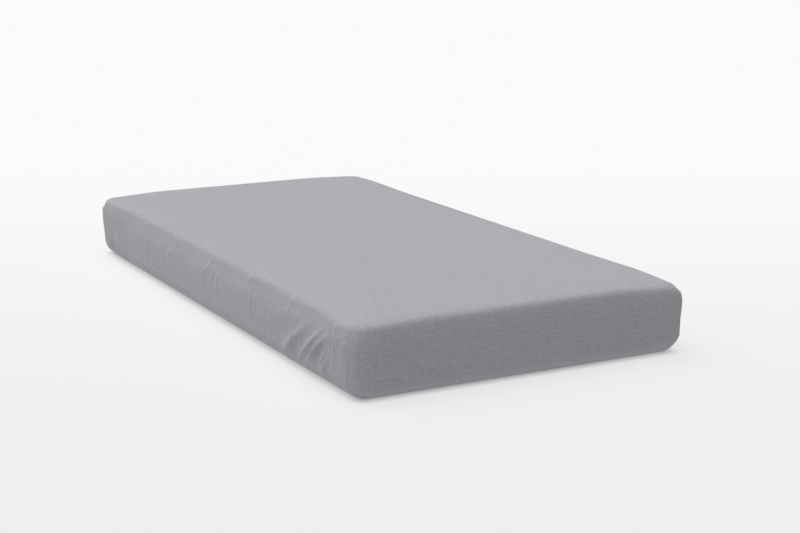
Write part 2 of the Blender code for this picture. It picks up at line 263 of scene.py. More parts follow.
class Wrap:
    """A grid laid over a rounded block as a cloth is: over its face, round the edges and down the sides.

    path gives inset from the side, height, outward and upward slope and the corner's plan radius
    at depths past the face's edge. down lists the depths of the grid's lines.
    """

    def __init__(self, half, corner, path, down, cells, crowding=0.0):
        flat_x, flat_y = half[0] - corner, half[1] - corner
        lines_x, steps_x = grid_lines(flat_x, cells[0], crowding, down)
        lines_y, steps_y = grid_lines(flat_y, cells[1], 0, down)
        self.columns, self.rows = len(lines_x), len(lines_y)
        u, v = (line.ravel() for line in np.meshgrid(lines_x, lines_y))
        self.step_x, self.step_y = (line.ravel() for line in np.meshgrid(steps_x, steps_y))
        step = np.maximum(self.step_x, self.step_y)
        self.depth = np.concatenate([[0], down])[step]
        quarter = math.pi / 4 * np.minimum(self.step_x, self.step_y) / np.maximum(step, 1)
        self.turn = np.where(self.step_x >= self.step_y, quarter, math.pi / 2 - quarter)
        self.side_x, self.side_y = np.sign(u), np.sign(v)
        inset, self.height, out, upward, radius = path(self.depth)
        round_x = radius * np.cos(self.turn) * (self.step_x > 0)
        round_y = radius * np.sin(self.turn) * (self.step_y > 0)
        x = np.minimum(np.abs(u), flat_x) / flat_x * (half[0] - inset - radius) + round_x
        y = np.minimum(np.abs(v), flat_y) / flat_y * (half[1] - inset - radius) + round_y
        self.points = np.stack([self.side_x * x, self.side_y * y, self.height], axis=1)
        sideways = [self.side_x * np.cos(self.turn), self.side_y * np.sin(self.turn), 0 * u]
        self.flat_out = np.stack(sideways, axis=1)
        self.out = self.flat_out * out[:, None] + np.array([0, 0, 1.0]) * upward[:, None]
        self.along_x = self.side_x * (np.minimum(np.abs(u), flat_x) + corner * (math.pi / 2 - self.turn))
        self.along_y = self.side_y * (np.minimum(np.abs(v), flat_y) + corner * self.turn)
        self.u, self.v = u, v

    def quads(self):
        return grid_quads(self.rows, self.columns)


cloth = Wrap((HALF_X, HALF_Y), EDGE_RADIUS, cover_path, cover_steps(), TOP_CELLS, CROWDING_X)
cloth.points[:, 2] += CLOTH_LIFT


# ---------------------------------------------------------------------------------------------
# Folds: each function gives how far the cloth stands out at every point

def ridge(along, height, foot, head, width, lift, peak=0.5):
    """A fold from foot to head, each (along, height) on a side, highest at the share peak of its run."""
    run_along, run_up = head[0] - foot[0], head[1] - foot[1]
    length = math.hypot(run_along, run_up)
    from_foot = ((along - foot[0]) * run_along + (height - foot[1]) * run_up) / length**2
    across = ((along - foot[0]) * run_up - (height - foot[1]) * run_along) / length
    fade = np.where(from_foot < peak, smooth(0, peak, from_foot), smooth(1, peak, from_foot))
    return lift * fade / np.cosh(np.clip(across / width, -20, 20))


def pucker_clusters(along, height, seed):
    """Groups of short upright folds that hang from points along the top edge of a long side."""
    rng = np.random.default_rng(seed)
    total = np.zeros_like(along)
    for number in range(PUCKER_COUNT):
        middle = PUCKER_FIRST + number * PUCKER_SPACING + rng.uniform(-0.006, 0.006)
        total += ridge(
            along, height, (middle + 0.006, PUCKER_TOP - 0.034), (middle + 0.024, PUCKER_TOP + 0.012),
            0.0052, 0.0032, peak=0.7,
        )
        for place in range(-2, 4):
            offset = 0.020 * place + rng.uniform(-0.004, 0.004)
            drop = rng.uniform(0.050, 0.115) * (1 - 0.12 * abs(place))
            top = PUCKER_TOP - 0.004 - 0.006 * abs(place) - rng.uniform(0, 0.010)
            slant = rng.uniform(-0.006, 0.004)
            width = rng.uniform(0.0036, 0.0056)
            lift = rng.uniform(0.0018, 0.0034)
            foot = (middle + offset + slant, top - drop)
            total += ridge(along, height, foot, (middle + offset + 0.006, top), width, lift, peak=0.72)
    return total


def scalloped_edge(along, height):
    """The top edge of a long side is drawn up at each cluster and sags a little between them."""
    phase = (along - PUCKER_FIRST - 0.02) / PUCKER_SPACING * 2 * math.pi
    return SCALLOP_LIFT * np.cos(phase) * smooth(0.110, 0.150, height) * smooth(0.192, 0.176, height)


def ripples(along, height, seed):
    """Faint upright waves over a whole side."""
    rng = np.random.default_rng(seed)
    total = np.zeros_like(along)
    for length in RIPPLE_LENGTHS:
        bend = 0.006 * np.sin(height * rng.uniform(20, 45) + rng.uniform(0, 6))
        swell = 0.5 + 0.5 * np.sin(along * rng.uniform(4, 14) + rng.uniform(0, 6))
        total += swell * np.sin((along + bend) * 2 * math.pi / length + rng.uniform(0, 6))
    window = smooth(0.020, 0.070, height) * smooth(0.178, 0.115, height)
    return RIPPLE_LIFT * window * total


# Folds that the hem draws slantwise from a corner: foot and head as distance from the mattress's
# end and height, then width and lift. A hollow has a negative lift.
GATHERS = (
    ((0.4500, -0.002), (0.2300, 0.160), 0.0110, 0.0095),
    ((0.3420, 0.080), (0.3040, 0.040), 0.0085, -0.0060),
    ((0.3105, 0.010), (0.1950, 0.114), 0.0062, -0.0040),
    ((0.3260, 0.026), (0.1500, 0.164), 0.0056, 0.0095),
    ((0.3040, 0.012), (0.1220, 0.156), 0.0062, 0.0108),
    ((0.2550, -0.002), (0.1400, 0.140), 0.0068, -0.0055),
    ((0.1950, 0.044), (0.1500, 0.102), 0.0048, 0.0055),
    ((0.1900, 0.020), (0.1380, 0.086), 0.0048, 0.0055),
)
GATHER_FOOT = 0.025


@dataclass(frozen=True)
class Corner:
    """One corner of the cover.

    It has the size and strength of its gathers, the tuck of its foot, the share and top of its
    fin and the droop of its top.
    """

    size: float
    strength: float
    tuck: float
    fin: float
    fin_top: float
    droop: float


CORNERS = {
    (-1, -1): Corner(size=1.00, strength=1.00, tuck=0.0015, fin=0.10, fin_top=0.170, droop=0.0055),
    (-1, 1): Corner(size=0.66, strength=0.70, tuck=0.0075, fin=0.95, fin_top=0.165, droop=0.0075),
    (1, -1): Corner(size=0.85, strength=0.50, tuck=0.0008, fin=0.90, fin_top=0.180, droop=0.0105),
    (1, 1): Corner(size=0.95, strength=0.80, tuck=0.0008, fin=0.60, fin_top=0.170, droop=0.0060),
}


def corner_gathers(from_end, height, corner):
    """The slanted folds near one corner, scaled about the corner's foot."""
    size, strength = corner.size, corner.strength
    total = np.zeros_like(from_end)
    for (foot_along, foot_up), (head_along, head_up), width, lift in GATHERS:
        total += ridge(
            from_end, height,
            (foot_along * size, GATHER_FOOT + (foot_up - GATHER_FOOT) * size),
            (head_along * size, GATHER_FOOT + (head_up - GATHER_FOOT) * size),
            width * size, lift * strength,
        )
    return total


def long_side_folds(side_x, seed):
    """All the folds of one long side."""
    on_side = (cloth.step_x > 0) & (cloth.side_x == side_x)
    total = pucker_clusters(cloth.along_y, cloth.height, seed)
    total += scalloped_edge(cloth.along_y, cloth.height)
    total += 0.8 * ripples(cloth.along_y, cloth.height, seed + 1)
    for side_y in (-1, 1):
        total += corner_gathers(HALF_Y - side_y * cloth.along_y, cloth.height, CORNERS[side_x, side_y])
    return np.where(on_side, total, 0)


def short_side_folds(side_y, seed):
    """A short side is pulled nearly smooth: two soft slanted creases and the faintest waves."""
    on_side = (cloth.step_y > 0) & (cloth.side_y == side_y)
    rng = np.random.default_rng(seed)
    total = 0.6 * ripples(cloth.along_x, cloth.height, seed + 1)
    for place in (-0.30, 0.21):
        middle = place + rng.uniform(-0.01, 0.01)
        total += ridge(
            cloth.along_x, cloth.height, (middle + 0.035, 0.048), (middle - 0.035, 0.104), 0.011, 0.0020
        )
    return np.where(on_side, total, 0)


def dart_seams():
    """The darts: each corner's seam stands out in a fin below the top edge, and runs down as a rib."""
    height = cloth.height
    inset = profile(cloth.depth)[0]
    share, top = np.zeros_like(height), np.full_like(height, HEIGHT)
    for (side_x, side_y), corner in CORNERS.items():
        here = (cloth.side_x == side_x) & (cloth.side_y == side_y)
        share[here], top[here] = corner.fin, corner.fin_top
    reach = FIN_REACH * np.clip((height - FIN_FOOT) / (top - FIN_FOOT), 0, 1) + 0.5 * inset
    window = smooth(FIN_FOOT - 0.02, FIN_FOOT + 0.03, height)
    window = window * smooth(top + FIN_FADE, top - FIN_FADE, height)
    from_seam = np.abs(cloth.turn - math.pi / 4) * EDGE_RADIUS
    fin = share * reach * window * np.exp(-from_seam / FIN_WIDTH)
    rib = RIB_LIFT * smooth(0.012, 0.050, height) * smooth(HEIGHT - 0.004, HEIGHT - 0.050, height)
    rib = rib * np.exp(-from_seam / RIB_WIDTH)
    groove = SEAM_GROOVE * np.exp(-(from_seam / SEAM_GROOVE_WIDTH) ** 2)
    groove = groove * smooth(HEIGHT - 0.004, HEIGHT - 0.030, height)
    at_corner = (cloth.step_x > 0) & (cloth.step_y > 0) & (cloth.depth < BOTTOM_END)
    return np.where(at_corner, fin + rib - groove, 0)


def hollow_sides():
    """The cloth spans the side between its two edges, so it sinks a little at half height."""
    down_side = np.clip((cloth.depth - ARC * 0.6) / (SIDE_END + 0.02 - ARC * 0.6), 0, 1)
    from_corner = (np.array([HALF_X, HALF_Y]) - np.abs(cloth.points[:, :2])).sum(axis=1)
    return -SIDE_HOLLOW * np.sin(math.pi * down_side) ** 2 * smooth(0.03, 0.20, from_corner)


def ruffles():
    """The gathered hem: the skirt's cloth lifts in folds that run in from the mattress's edge."""
    along = np.where(cloth.step_x >= cloth.step_y, cloth.along_y, cloth.along_x)
    bend = 0.35 * np.sin(along * 31)
    wave = 0.5 - 0.5 * np.cos(along * 2 * math.pi / RUFFLE_LENGTH + bend)
    window = smooth(BOTTOM_END - 0.02, SKIRT_END - 0.02, cloth.depth)
    return RUFFLE_LIFT * window * wave * (1 - 0.5 * smooth(SKIRT_END - 0.015, SKIRT_END, cloth.depth))


def settle(points):
    """Moves points as the tight cover moves them.

    The top droops towards its edges and corners, the long sides lean in at the top between their
    ends, and the corners are tucked in at the foot. The zip's height, below SETTLE_FOOT as a share
    of the whole, keeps its place.
    """
    from_side = HALF_X - np.abs(points[:, 0])
    from_end = HALF_Y - np.abs(points[:, 1])
    from_corner = np.hypot(from_side, from_end)
    share = points[:, 2] / HEIGHT
    droop = SIDE_DROOP * smooth(EDGE_REACH, 0.01, from_side) * smooth(-0.02, 0.25, from_end)
    droop += END_DROOP * smooth(EDGE_REACH, 0.01, from_end)
    lean = SIDE_LEAN * smooth(EDGE_REACH, 0.005, from_side) * smooth(0.02, 0.50, from_end)
    moved = points.copy()
    moved[:, 0] -= np.sign(points[:, 0]) * lean * smooth(SETTLE_FOOT, 0.92, share)
    for (side_x, side_y), corner in CORNERS.items():
        here = (points[:, 0] * side_x > 0) & (points[:, 1] * side_y > 0)
        droop += corner.droop * smooth(DROOP_REACH, 0.02, from_corner) * here
        pull = corner.tuck * smooth(TUCK_REACH, 0.02, from_corner) * smooth(0.75, 0.20, share) * here
        moved[:, :2] -= np.array([side_x, side_y]) / math.sqrt(2) * pull[:, None]
    moved[:, 2] -= droop * smooth(SETTLE_FOOT, 1, share)
    return moved


def rest_on_mattress(stand_out):
    """Hollows come to rest on the mattress inside, or on the zip's slider on the side that has the zip."""
    deepest = np.where(cloth.side_x > 0, DEEPEST_OVER_ZIP, DEEPEST)
    return np.where(stand_out < 0, -deepest * np.tanh(-stand_out / deepest), stand_out)


def fold_cloth():
    """Moves all the folds into the cover's points."""
    stand_out = hollow_sides()
    stand_out += long_side_folds(-1, 11)
    stand_out += long_side_folds(1, 23)
    stand_out += short_side_folds(-1, 37)
    stand_out += short_side_folds(1, 41)
    cloth.points += cloth.out * rest_on_mattress(stand_out)[:, None]
    cloth.points += cloth.flat_out * dart_seams()[:, None]
    cloth.points[:, 2] += ruffles()
    cloth.points = settle(cloth.points)


fold_cloth()


# ---------------------------------------------------------------------------------------------
# Materials

class Finish:
    """A material being made. Its methods add nodes, whose inputs take a value or another node's output."""

    def __init__(self, name, roughness):
        self.material = bpy.data.materials.new(name)
        self.material.use_nodes = True
        self.tree = self.material.node_tree
        self.shader = self.tree.nodes["Principled BSDF"]
        self.shade(Roughness=roughness)

    def feed(self, node, inputs):
        """Sets or links a node's inputs, which go by their socket's name or number."""
        for socket, value in inputs.items():
            if isinstance(value, bpy.types.NodeSocket):
                self.tree.links.new(value, node.inputs[socket])
            else:
                node.inputs[socket].default_value = value

    def add(self, kind, inputs, **settings):
        """A new node of this kind. Settings are its own properties."""
        node = self.tree.nodes.new(f"ShaderNode{kind}")
        for name, setting in settings.items():
            setattr(node, name, setting)
        self.feed(node, inputs)
        return node

    def shade(self, **values):
        """Feeds the shader's inputs, their names written with _ for a space."""
        self.feed(self.shader, {name.replace("_", " "): value for name, value in values.items()})

    def cloth_place(self):
        """Two outputs: across and along the unrolled cloth, in metres."""
        place = self.add("UVMap", {}, uv_map="cloth")
        apart = self.add("SeparateXYZ", {"Vector": place.outputs["UV"]})
        return apart.outputs["X"], apart.outputs["Y"]

    def object_place(self):
        """Three outputs: the place on the piece, in metres."""
        place = self.add("TexCoord", {})
        apart = self.add("SeparateXYZ", {"Vector": place.outputs["Object"]})
        return apart.outputs["X"], apart.outputs["Y"], apart.outputs["Z"]

    def math(self, operation, first, second=0.0):
        return self.add("Math", {0: first, 1: second}, operation=operation).outputs[0]

    def wave(self, place, length):
        """A sine along a place, of this wavelength, from -1 to 1."""
        return self.math("SINE", self.math("MULTIPLY", place, 2 * math.pi / length))

    def noise(self, place, sizes, detail=2.0):
        """Noise about 0, its grains as long as sizes along each of the place's coordinates."""
        shares = [self.math("DIVIDE", part, size) for part, size in zip(place, sizes)]
        joined = self.add("CombineXYZ", dict(enumerate(shares)))
        inputs = {"Vector": joined.outputs["Vector"], "Scale": 1.0, "Detail": detail}
        return self.math("SUBTRACT", self.add("TexNoise", inputs).outputs["Fac"], 0.5)

    def total(self, *shares):
        """The sum of (weight, value) pairs."""
        result = 0.0
        for weight, value in shares:
            result = self.math("ADD", self.math("MULTIPLY", value, weight), result)
        return result

    def above(self, value, low, high):
        """0 where the value is under low, 1 where it is over high."""
        inputs = {"Value": value, "From Min": low, "From Max": high}
        return self.add("MapRange", inputs, interpolation_type="SMOOTHSTEP").outputs["Result"]

    def coat(self, pattern, dark, light, relief, depth, middle=0.5, **values):
        """Colours the surface from dark to light by a pattern, gives it relief, and returns the material.

        Pattern and relief are (weight, value) pairs. Where the pattern is 0, the colour is at middle.
        The other values go to the shader.
        """
        inputs = {0: self.total(*pattern, (1.0, middle)), 6: (*dark, 1), 7: (*light, 1)}
        colour = self.add("Mix", inputs, data_type="RGBA").outputs[2]
        inputs = {"Height": self.total(*relief), "Distance": depth, "Strength": 1.0}
        normal = self.add("Bump", inputs).outputs["Normal"]
        self.shade(Base_Color=colour, Normal=normal, **values)
        return self.material


def tinted(colour, share):
    """A colour made lighter or darker by this share."""
    return tuple(part * share for part in colour)


def jersey_material():
    """Fine single jersey in heather grey: rows of V stitches, mixed fibres, long streaks and slubs."""
    grey = (0.322, 0.330, 0.351)
    wale, course = 0.0012, 0.0009
    finish = Finish("heather_jersey", 0.92)
    across, along = finish.cloth_place()
    place = (across, along)
    streaks = finish.noise(place, (0.032, 0.0046))
    flecks = finish.noise(place, (0.011, 0.0075), detail=3)
    fibres = finish.noise(place, (0.009, 0.0011), detail=3)
    clouds = finish.noise(place, (0.30, 0.16))
    slubs = finish.above(finish.noise(place, (0.020, 0.0026), detail=1), 0.20, 0.27)
    dark_slubs = finish.above(finish.noise(place, (0.019, 0.0045), detail=1), 0.19, 0.26)
    lean = finish.math("ABSOLUTE", finish.wave(across, 2 * wale))
    rows = finish.wave(finish.math("ADD", along, finish.math("MULTIPLY", lean, course * 0.4)), course)
    stitches = finish.total((0.5, rows), (0.5, finish.wave(across, wale)))
    heather = finish.total((0.28, streaks), (0.95, flecks), (0.38, fibres), (0.10, clouds))
    knots = finish.total((0.75, slubs), (-0.45, dark_slubs))
    return finish.coat(
        [(1.0, heather), (1.0, knots), (0.06, stitches)], tinted(grey, 0.78), tinted(grey, 1.22),
        [(0.5, stitches), (0.4, fibres), (0.3, streaks)], 0.00012,
        Sheen_Weight=0.12, Sheen_Roughness=0.45, Specular_IOR_Level=0.2,
    )


def knit_material(name, colour, stitch, roughness=0.92, sheen=0.10, mottle=0.12):
    """A plain knit: rows and columns of stitches on every face, with a little cloudiness and wear."""
    finish = Finish(name, roughness)
    place = finish.object_place()
    stitches = finish.total(*((0.33, finish.wave(part, stitch)) for part in place))
    clouds = finish.noise(place, (0.12, 0.12, 0.12))
    fibres = finish.noise(place, (0.004, 0.004, 0.004), detail=3)
    return finish.coat(
        [(0.10, stitches), (0.8, clouds), (0.7, fibres)],
        tinted(colour, 1 - mottle), tinted(colour, 1 + mottle),
        [(0.8, stitches), (0.6, fibres)], 0.00025,
        Sheen_Weight=sheen, Sheen_Roughness=0.5, Specular_IOR_Level=0.2,
    )


def foam_material(name, colour, pore):
    """Open-celled foam: fine pores, sunk and painted darker as painted shade, soft mottling and a slight
    yellowing in patches.
    """
    finish = Finish(name, 0.95)
    place = finish.object_place()
    cells = finish.noise(place, (pore,) * 3)
    pits_and_pore_shade = finish.above(cells, 0.06, 0.16)
    patches = finish.noise(place, (0.25, 0.25, 0.10))
    aged = (colour[0], colour[1] * 0.97, colour[2] * 0.88)
    # The pits are sunk in the bump and painted darker in colour: painted shade in the pores.
    return finish.coat(
        [(-0.45, pits_and_pore_shade), (0.6, cells), (0.8, patches)], tinted(aged, 0.84), tinted(colour, 1.05),
        [(-1.0, pits_and_pore_shade), (0.4, cells)], 0.0005, middle=0.6, Specular_IOR_Level=0.15,
    )


def stretched_band_material(name, colour, rib, roughness=0.85):
    """A narrow woven band: ribs across it, threads along it and a worn, slightly uneven colour."""
    finish = Finish(name, roughness)
    across, along, up = finish.object_place()
    around = finish.math("ADD", across, along)
    ribs = finish.total((0.6, finish.wave(around, rib)), (0.4, finish.wave(up, rib * 0.8)))
    wear = finish.noise((across, along, up), (0.02, 0.02, 0.003), detail=3)
    return finish.coat(
        [(0.18, ribs), (1.1, wear)], tinted(colour, 0.82), tinted(colour, 1.10),
        [(1.0, ribs), (0.5, wear)], 0.0002, Sheen_Weight=0.08, Specular_IOR_Level=0.3,
    )


def zip_tape_material():
    """Herringbone tape: slanted threads that change direction every two millimetres of its height."""
    finish = Finish("zip_tape", 0.8)
    across, along, up = finish.object_place()
    zigzag = finish.math("PINGPONG", up, 0.002)
    threads = finish.wave(finish.math("ADD", along, zigzag), 0.0008)
    wear = finish.noise((across, along, up), (0.05, 0.03, 0.004), detail=3)
    return finish.coat(
        [(0.25, threads), (0.9, wear)], (0.53, 0.54, 0.56), (0.70, 0.71, 0.73),
        [(1.0, threads), (0.4, wear)], 0.00015, Sheen_Weight=0.08, Specular_IOR_Level=0.3,
    )


def zip_coil_material():
    """Satin nylon wire, a little yellowed and scuffed in places."""
    finish = Finish("zip_coil", 0.35)
    place = finish.object_place()
    scuffs = finish.noise(place, (0.004, 0.010, 0.004), detail=3)
    patches = finish.noise(place, (0.05, 0.08, 0.05))
    return finish.coat(
        [(0.8, scuffs), (0.8, patches)], (0.63, 0.63, 0.62), (0.76, 0.77, 0.79),
        [(1.0, scuffs)], 0.0001, Roughness=finish.total((0.4, scuffs), (1.0, 0.36)),
    )


def zip_metal_material():
    """Brushed zinc, rubbed brighter in streaks along the way it slides."""
    finish = Finish("zip_metal", 0.35)
    place = finish.object_place()
    brushing = finish.noise(place, (0.0002, 0.006, 0.0002), detail=3)
    tarnish = finish.noise(place, (0.003, 0.004, 0.003))
    return finish.coat(
        [(0.7, brushing), (0.9, tarnish)], (0.42, 0.42, 0.44), (0.66, 0.66, 0.68),
        [(1.0, brushing)], 0.00005, Metallic=1.0,
        Roughness=finish.total((0.35, brushing), (0.3, tarnish), (1.0, 0.34)),
    )


def label_material():
    """Blank white satin: fine floats along the label, a soft gloss and faint creases, painted lighter and
    darker along them as painted shade and highlight.
    """
    finish = Finish("label_satin", 0.45)
    across, along, up = finish.object_place()
    threads = finish.total((0.6, finish.wave(up, 0.0005)), (0.6, finish.wave(along, 0.0005)))
    creases_and_crease_shade = finish.noise((across, along, up), (0.012, 0.012, 0.03), detail=3)
    # The creases bend the bump and also shade the colour: painted shade and highlight along them.
    return finish.coat(
        [(0.10, threads), (1.0, creases_and_crease_shade)], (0.80, 0.80, 0.79), (0.95, 0.95, 0.94),
        [(0.3, threads), (1.0, creases_and_crease_shade)], 0.0002, Sheen_Weight=0.15, Specular_IOR_Level=0.45,
    )


MATERIALS = {
    "heather_jersey": jersey_material(),
    "seam_thread": stretched_band_material("seam_thread", (0.27, 0.28, 0.30), 0.0022),
    "elastic": stretched_band_material("elastic", (0.80, 0.80, 0.78), 0.0012),
    "white_knit": knit_material("white_knit", (0.82, 0.82, 0.80), 0.0016),
    "grey_border_cloth": knit_material("grey_border_cloth", (0.45, 0.46, 0.48), 0.0020, mottle=0.18),
    "grip_cloth": knit_material("grip_cloth", (0.30, 0.31, 0.33), 0.0012, roughness=0.95, mottle=0.15),
    "binding_cloth": stretched_band_material("binding_cloth", (0.78, 0.78, 0.76), 0.0009),
    "zip_tape": zip_tape_material(),
    "zip_coil": zip_coil_material(),
    "zip_metal": zip_metal_material(),
    "barrier_knit": knit_material("barrier_knit", (0.86, 0.85, 0.81), 0.0024, roughness=0.95, sheen=0.05),
    "memory_foam": foam_material("memory_foam", (0.86, 0.84, 0.74), 0.0009),
    "transition_foam": foam_material("transition_foam", (0.66, 0.75, 0.82), 0.0014),
    "base_foam": foam_material("base_foam", (0.88, 0.88, 0.86), 0.0018),
    "label_satin": label_material(),
}


# ---------------------------------------------------------------------------------------------
# The cover, its seams and its elastic

def add_object(name, data):
    """A new object with this data, in the scene."""
    thing = bpy.data.objects.new(name, data)
    bpy.context.scene.collection.objects.link(thing)
    return thing


def add_mesh(name, points, quads):
    """An object with these faces, and the numbers of the points that they use."""
    used, faces = np.unique(quads, return_inverse=True)
    mesh = bpy.data.meshes.new(name)
    mesh.from_pydata(points[used].tolist(), [], faces.reshape(np.shape(quads)).tolist())
    return add_object(name, mesh), used


def add_piece(name, points, quads, slot, stands_for, thickness=0.0):
    """A piece of the mattress's body in place of CAD nodes. Cloth is given its thickness inwards."""
    piece, _ = add_mesh(name, points, quads)
    piece.data.shade_smooth()
    piece.data.materials.append(MATERIALS[slot])
    if thickness:
        solidify = piece.modifiers.new("cloth thickness", "SOLIDIFY")
        solidify.thickness = thickness
        solidify.offset = -1
    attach(piece, "mattress")
    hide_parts(*stands_for)
    return piece


def cloth_uv(quads):
    """Cloth coordinates of each quad's corners, in metres: each side is unrolled round its corners."""
    on_long = cloth.step_x[quads].sum(axis=1) >= cloth.step_y[quads].sum(axis=1)
    u = np.where(on_long[:, None], cloth.u[quads], cloth.along_x[quads])
    v = np.where(on_long[:, None], cloth.along_y[quads], cloth.v[quads])
    return np.stack([u, v], axis=-1).reshape(-1, 2)


def simulate(sides, cut_points, held_points):
    """Where the points of a cloth come to rest, when it is cut to other sizes and held at some points."""
    sides.shape_key_add(name="folded")
    cut = sides.shape_key_add(name="cut")
    cut.data.foreach_set("co", cut_points.ravel())
    held = sides.vertex_groups.new(name="held")
    held.add(held_points.tolist(), 1.0, "REPLACE")
    jersey = sides.modifiers.new("jersey", "CLOTH")
    settings = jersey.settings
    settings.vertex_group_mass = "held"
    settings.rest_shape_key = cut
    settings.quality = RELAX_QUALITY
    settings.mass = 0.05
    settings.tension_stiffness = 12
    settings.compression_stiffness = 12
    settings.shear_stiffness = 4
    settings.bending_stiffness = 0.02
    settings.air_damping = 2
    settings.effector_weights.gravity = 0
    jersey.point_cache.frame_end = RELAX_FRAMES
    for number in range(1, RELAX_FRAMES + 1):
        bpy.context.scene.frame_set(number)
    moved = np.empty(cut_points.size, np.float32)
    relaxed = sides.evaluated_get(bpy.context.evaluated_depsgraph_get())
    relaxed.data.vertices.foreach_get("co", moved)
    return moved.reshape(-1, 3)


def relax():
    """A cloth simulation gives the sides small folds: the cut is too long along them and short up them.

    The edges of the sides are held, and a point moves no further than RELAX_OUT out or RELAX_IN in,
    and not in at all over the zip.
    """
    quads = cloth.quads()
    on_side = (cloth.depth > 0.15 * ARC) & (cloth.depth < BOTTOM_END)
    sides, used = add_mesh("relaxing", cloth.points, quads[on_side[quads].all(axis=1)])
    start, out, depth = cloth.points[used], cloth.out[used], cloth.depth[used]
    cut = start * (1 + np.array([EASE_ALONG, EASE_ALONG, EASE_UP]))
    held = np.flatnonzero((depth < 0.3 * ARC) | (depth > BOTTOM_END - 0.012))
    stand_out = ((simulate(sides, cut, held) - start) * out).sum(axis=1)
    bpy.data.objects.remove(sides, do_unlink=True)
    bpy.context.scene.frame_set(1)
    window = smooth(0.3 * ARC, 0.6 * ARC, depth) * smooth(BOTTOM_END, BOTTOM_END - 0.05, depth)
    deepest = np.where(cloth.side_x[used] > 0, 0, RELAX_IN)
    cloth.points[used] += out * (np.clip(stand_out, -deepest, RELAX_OUT) * window)[:, None]


def make_cover():
    relax()
    quads = cloth.quads()
    cover = add_piece("jersey_cover", cloth.points, quads, "heather_jersey", ["fitted_cover"])
    layer = cover.data.uv_layers.new(name="cloth")
    layer.data.foreach_set("uv", cloth_uv(quads).astype(np.float32).ravel())
    return cover


def make_corner_seam(name, side_x, side_y):
    """The overlocked edge of a dart, which follows the cover from inside along the corner."""
    quads = cloth.quads()
    beside = np.abs(cloth.step_x - cloth.step_y)[quads].max(axis=1) <= 1
    at_corner = (cloth.step_x[quads].min(axis=1) > 0) & (cloth.depth[quads].max(axis=1) < BOTTOM_END + 0.02)
    here = (cloth.side_x[quads[:, 0]] == side_x) & (cloth.side_y[quads[:, 0]] == side_y)
    return add_piece(
        f"corner_seam_cloth_{name}",
        cloth.points - cloth.out * SEAM_DEPTH,
        quads[beside & at_corner & here],
        "seam_thread",
        [f"corner_seam_{name}"],
        thickness=SEAM_THICKNESS,
    )


def outline(half, radius, marks=()):
    """Round a rounded rectangle: each point is centre + radius * direction. Marks lie on the +X side."""
    straight = half - radius
    corners = np.array([(1, -1), (1, 1), (-1, 1), (-1, -1)]) * straight
    centres, directions = [], []
    for side in range(4):
        start, end = corners[side], corners[(side + 1) % 4]
        length = np.abs(end - start).sum()
        places = np.linspace(0, length, math.ceil(length / OUTLINE_SPACING) + 1)
        if side == 0:
            places = np.union1d(places, np.array(marks) + length / 2)
        angle = side * math.pi / 2
        centres += [start + (end - start) * place / length for place in places]
        directions += [(math.cos(angle), math.sin(angle))] * len(places)
        for share in np.linspace(0, 1, OUTLINE_ARC_STEPS + 1)[1:-1]:
            turned = angle + share * math.pi / 2
            centres.append(end)
            directions.append((math.cos(turned), math.sin(turned)))
    return np.array(centres), np.array(directions)


def band(half, radius, rows, marks=()):
    """Points and quads of a band round a rounded rectangle. Its rows are (inset, height)."""
    centres, directions = outline(half, radius, marks)
    insets, heights = np.array(rows).T
    flat = centres + (radius - insets)[:, None, None] * directions
    upright = np.broadcast_to(heights[:, None, None], (*flat.shape[:2], 1))
    return np.concatenate([flat, upright], axis=2).reshape(-1, 3), tube_quads(*flat.shape[:2])


def make_elastic():
    """The flat band in the hem, a straight strip pulled into the hem's outline."""
    low, high = corners_of("hem_elastic")
    rows = [(-ELASTIC_WIDTH * share, high[2]) for share in np.linspace(0, 1, 4)]
    points, quads = band(high[:2] - ELASTIC_WIDTH, HEM_CORNER_RADIUS, rows)
    return add_piece(
        "hem_elastic_band", settle(points), quads[:, ::-1], "elastic", ["hem_elastic"],
        thickness=high[2] - low[2],
    )


# ---------------------------------------------------------------------------------------------
# The inner cover, the sleeve and the foam

@dataclass(frozen=True)
class Block:
    """The outside of one layer: half sizes, bottom, top, and the radii of its corners and edges."""

    half: np.ndarray
    bottom: float
    top: float
    top_edge: float
    low_edge: float

    @property
    def corner(self):
        """The plan radius of the corners, which follow the cover's."""
        return EDGE_RADIUS - (HALF_X - self.half[0])

    def inside(self, depth):
        """The block this deep inside the block."""
        return Block(
            self.half - depth, self.bottom + depth, self.top - depth,
            self.top_edge - depth, self.low_edge - depth,
        )

    def inset_at(self, height):
        """How far the side has curved in at this height by the bottom edge."""
        rise = np.clip(1 - (height - self.bottom) / self.low_edge, 0, 1)
        return self.low_edge * (1 - np.sqrt(1 - rise**2))


def size_of(node):
    """Width, length and height of a CAD node."""
    low, high = corners_of(node)
    return high - low


def block_of(side_node, low_node, high_node, top_edge=None, low_edge=None):
    """A block with the sides, bottom and top of three CAD nodes. An edge not given follows the cover's."""
    half = corners_of(side_node)[1][:2]
    depth = HALF_X - half[0]
    return Block(
        half,
        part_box(low_node)[0][2],
        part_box(high_node)[1][2],
        top_edge or EDGE_RADIUS - depth - EDGE_EASE,
        low_edge or BOTTOM_RADIUS - depth,
    )


